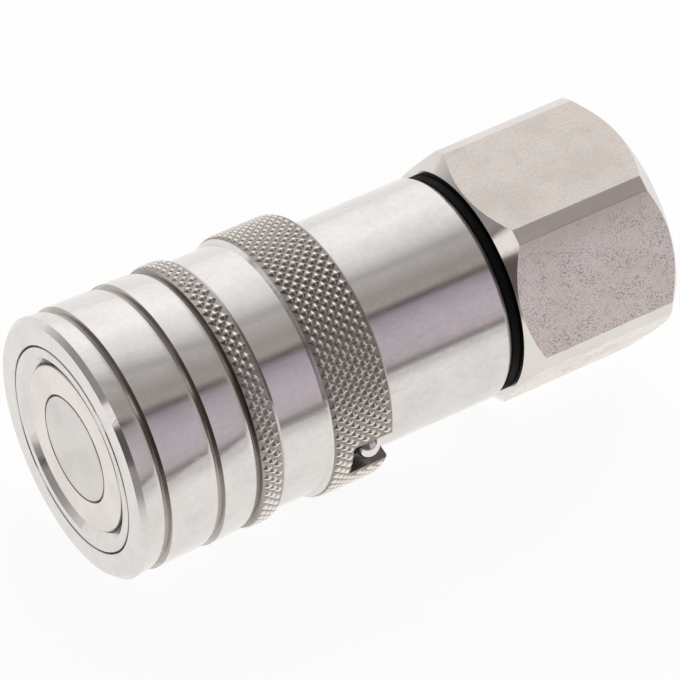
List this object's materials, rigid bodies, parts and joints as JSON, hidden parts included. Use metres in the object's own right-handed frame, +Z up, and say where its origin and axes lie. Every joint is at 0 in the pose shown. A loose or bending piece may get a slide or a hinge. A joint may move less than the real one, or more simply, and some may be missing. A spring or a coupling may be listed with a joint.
{
  "type": "flat face coupling socket",
  "caption": "Flat face hydraulic quick coupling socket with a knurled locking sleeve, sliding flat valve, ball lock and hexagon end with a threaded port.",
  "frame": {"origin": "centre of the flat coupling face, on the coupling's axis", "axes": "+X along the axis from the coupling face to the port, +Z up with the hexagon lying on a flat"},
  "size_m": [0.0878, 0.0388, 0.0388],
  "materials": {
    "sleeve_steel": "turned stainless steel, polished, with two knurled bands",
    "body_steel": "turned stainless steel, polished",
    "hex_steel": "drawn and turned stainless steel, satin",
    "joint_rubber": "black moulded rubber",
    "face_steel": "faced stainless steel, satin",
    "stem_steel": "faced stainless steel, satin",
    "ball_steel": "polished bearing steel",
    "ring_steel": "dark spring steel",
    "spring_steel": "drawn spring wire",
    "seal_rubber": "black moulded rubber",
    "backup_plastic": "white machined plastic"
  },
  "bodies": {
    "body": {"coupling_body": "body_steel", "end_adapter": "hex_steel", "joint_seal": "joint_rubber", "safety_ball": "ball_steel", "sleeve_stop_ring": "ring_steel", "valve_stem": "stem_steel", "stem_seal": "seal_rubber", "stem_retaining_ring": "ring_steel", "nipple_seal": "seal_rubber", "nipple_backup_ring": "backup_plastic", "tail_seal": "seal_rubber", "sleeve_spring": "spring_steel", "valve_spring": "spring_steel"},
    "sleeve": {"locking_sleeve": "sleeve_steel"},
    "valve": {"valve_sleeve": "face_steel"},
    "ball_1": {"locking_ball_1": "ball_steel"},
    "ball_2": {"locking_ball_2": "ball_steel"},
    "ball_3": {"locking_ball_3": "ball_steel"},
    "ball_4": {"locking_ball_4": "ball_steel"},
    "ball_5": {"locking_ball_5": "ball_steel"},
    "ball_6": {"locking_ball_6": "ball_steel"},
    "ball_7": {"locking_ball_7": "ball_steel"},
    "ball_8": {"locking_ball_8": "ball_steel"}
  },
  "joints": [
    {"name": "sleeve_slide", "type": "slide", "parent": "body", "child": "sleeve", "axis": [-1, 0, 0], "range_m": [0, 0.0052], "stiffness_N_per_m": 400, "springref_m": 0.012, "deforming": ["sleeve_spring"]},
    {"name": "valve_slide", "type": "slide", "parent": "body", "child": "valve", "axis": [1, 0, 0], "range_m": [0, 0.01404], "stiffness_N_per_m": 1200, "springref_m": -0.005, "deforming": ["valve_spring"]},
    {"name": "ball_1_slide", "type": "slide", "parent": "body", "child": "ball_1", "axis": [0, 0.1564, -0.9877], "range_m": [0, 0.00165]},
    {"name": "ball_2_slide", "type": "slide", "parent": "body", "child": "ball_2", "axis": [0, 0.809, -0.5878], "range_m": [0, 0.00165]},
    {"name": "ball_3_slide", "type": "slide", "parent": "body", "child": "ball_3", "axis": [0, 0.9877, 0.1564], "range_m": [0, 0.00165]},
    {"name": "ball_4_slide", "type": "slide", "parent": "body", "child": "ball_4", "axis": [0, 0.5878, 0.809], "range_m": [0, 0.00165]},
    {"name": "ball_5_slide", "type": "slide", "parent": "body", "child": "ball_5", "axis": [0, -0.1564, 0.9877], "range_m": [0, 0.00165]},
    {"name": "ball_6_slide", "type": "slide", "parent": "body", "child": "ball_6", "axis": [0, -0.809, 0.5878], "range_m": [0, 0.00165]},
    {"name": "ball_7_slide", "type": "slide", "parent": "body", "child": "ball_7", "axis": [0, -0.9877, -0.1564], "range_m": [0, 0.00165]},
    {"name": "ball_8_slide", "type": "slide", "parent": "body", "child": "ball_8", "axis": [0, -0.5878, -0.809], "range_m": [0, 0.00165]}
  ],
  "couplings": [
    {"joint": "valve_slide", "follows": "sleeve_slide", "ratio": 2.7},
    {"joint": "ball_1_slide", "follows": "sleeve_slide", "ratio": 0.3173},
    {"joint": "ball_2_slide", "follows": "sleeve_slide", "ratio": 0.3173},
    {"joint": "ball_3_slide", "follows": "sleeve_slide", "ratio": 0.3173},
    {"joint": "ball_4_slide", "follows": "sleeve_slide", "ratio": 0.3173},
    {"joint": "ball_5_slide", "follows": "sleeve_slide", "ratio": 0.3173},
    {"joint": "ball_6_slide", "follows": "sleeve_slide", "ratio": 0.3173},
    {"joint": "ball_7_slide", "follows": "sleeve_slide", "ratio": 0.3173},
    {"joint": "ball_8_slide", "follows": "sleeve_slide", "ratio": 0.3173}
  ]
}
